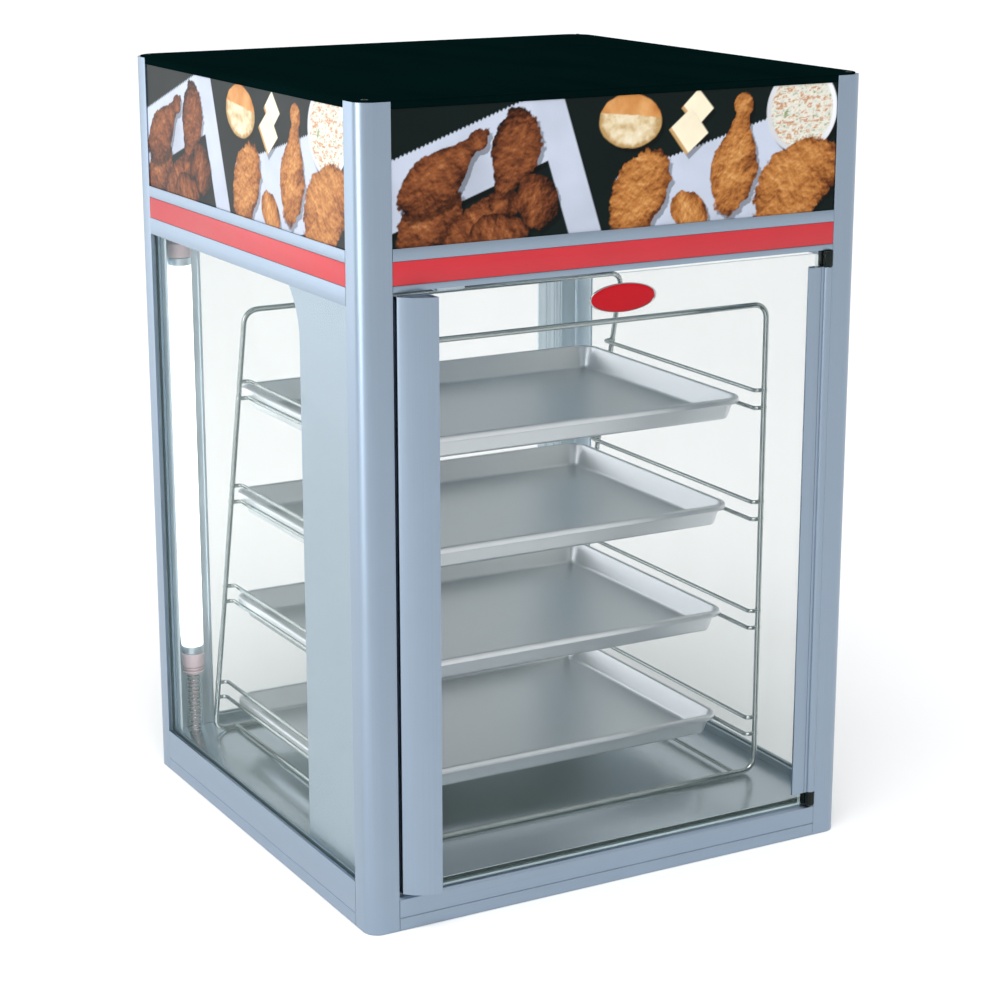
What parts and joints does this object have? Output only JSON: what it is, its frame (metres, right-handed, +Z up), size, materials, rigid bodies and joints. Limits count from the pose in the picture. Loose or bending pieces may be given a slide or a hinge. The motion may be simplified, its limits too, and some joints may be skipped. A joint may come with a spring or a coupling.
{
  "type": "food holding cabinet",
  "caption": "Glazed countertop food holding cabinet with a hinged glass door, a wire rack of sheet pans, a sign header with a warm-air blower and an upright lamp.",
  "frame": {"origin": "on the counter, below the middle of the overall box, which includes the door handle", "axes": "+X to the right seen from the door side, +Y from the door to the back, +Z up"},
  "size_m": [0.572, 0.58, 0.825],
  "materials": {
    "anodised_frame": "satin anodised extrusion",
    "glass": "clear tempered pane with a green edge",
    "black_cover": "gloss black enamel",
    "stainless_floor": "brushed stainless sheet",
    "rear_panel": "brushed stainless sheet",
    "zinc_sheet": "plain zinc-plated steel",
    "red_strip": "satin red plastic inlay",
    "emblem": "plain red oval, gloss",
    "sign_film": null,
    "hinge_plastic": "black nylon",
    "chrome_wire": "bright chrome plate",
    "pan_aluminium": "plain aluminium sheet",
    "lamp_glass": "white coated tube",
    "lamp_holder": "pale moulded plastic",
    "control_plastic": "black moulded plastic"
  },
  "bodies": {
    "cabinet": {"pillar_front_left": "anodised_frame", "pillar_front_right": "anodised_frame", "pillar_rear_left": "anodised_frame", "pillar_rear_right": "anodised_frame", "sill_front": "anodised_frame", "sill_rear": "anodised_frame", "sill_left": "anodised_frame", "sill_right": "anodised_frame", "header_rail_front": "anodised_frame", "header_rail_rear": "anodised_frame", "header_rail_left": "anodised_frame", "header_rail_right": "anodised_frame", "air_duct": "anodised_frame", "corner_channel_left": "anodised_frame", "corner_channel_right": "anodised_frame", "glass_left": "glass", "glass_right": "glass", "glass_rear": "glass", "top_cover": "black_cover", "floor_plate": "stainless_floor", "ceiling_plate": "stainless_floor", "rear_panel": "rear_panel", "base_pan": "zinc_sheet", "strip_front": "red_strip", "strip_left": "red_strip", "strip_right": "red_strip", "sign_front": "sign_film", "sign_left": "sign_film", "sign_right": "sign_film", "pivot_block_bottom": "hinge_plastic", "pivot_block_top": "hinge_plastic", "door_catch": "hinge_plastic", "blower_drum": "zinc_sheet", "blower_motor": "zinc_sheet", "heater_rod": "zinc_sheet", "lamp_ballast": "zinc_sheet", "rack_side_left": "chrome_wire", "rack_side_right": "chrome_wire", "rack_front_top_bar": "chrome_wire", "rack_rear_top_bar": "chrome_wire", "rack_foot_frame": "chrome_wire", "lamp_tube": "lamp_glass", "lamp_holder_bottom": "lamp_holder", "lamp_holder_top": "lamp_holder", "cord_gland": "control_plastic"},
    "door": {"door_glass": "glass", "door_handle": "anodised_frame", "hinge_stile": "anodised_frame", "door_emblem": "emblem", "hinge_pin_bottom": "zinc_sheet", "hinge_pin_top": "zinc_sheet"},
    "pan_1": {"pan_1": "pan_aluminium"},
    "pan_2": {"pan_2": "pan_aluminium"},
    "pan_3": {"pan_3": "pan_aluminium"},
    "pan_4": {"pan_4": "pan_aluminium"},
    "fan": {"blower_wheel": "zinc_sheet"},
    "power_switch": {"power_rocker": "control_plastic"},
    "light_switch": {"light_rocker": "control_plastic"},
    "heat_control": {"heat_knob": "control_plastic"}
  },
  "joints": [
    {"name": "door_hinge", "type": "hinge", "parent": "cabinet", "child": "door", "pos_m": [0.247, -0.27, 0.34], "axis": [0, 0, 1], "range_deg": [0, 110]},
    {"name": "pan_1_slide", "type": "slide", "parent": "cabinet", "child": "pan_1", "axis": [0, -1, 0], "range_m": [0, 0.135]},
    {"name": "pan_2_slide", "type": "slide", "parent": "cabinet", "child": "pan_2", "axis": [0, -1, 0], "range_m": [0, 0.13]},
    {"name": "pan_3_slide", "type": "slide", "parent": "cabinet", "child": "pan_3", "axis": [0, -1, 0], "range_m": [0, 0.12]},
    {"name": "pan_4_slide", "type": "slide", "parent": "cabinet", "child": "pan_4", "axis": [0, -1, 0], "range_m": [0, 0.1]},
    {"name": "fan_spin", "type": "hinge", "parent": "cabinet", "child": "fan", "pos_m": [0.028, -0.018, 0.6857], "axis": [0, 0, 1], "continuous": true},
    {"name": "power_rocker_tip", "type": "hinge", "parent": "cabinet", "child": "power_switch", "pos_m": [-0.03, 0.2787, 0.7497], "axis": [-1, 0, 0], "range_deg": [0, 16]},
    {"name": "light_rocker_tip", "type": "hinge", "parent": "cabinet", "child": "light_switch", "pos_m": [0, 0.2787, 0.7497], "axis": [-1, 0, 0], "range_deg": [0, 16]},
    {"name": "heat_knob_turn", "type": "hinge", "parent": "cabinet", "child": "heat_control", "pos_m": [0.072, 0.2787, 0.7497], "axis": [0, -1, 0], "range_deg": [0, 270]}
  ]
}
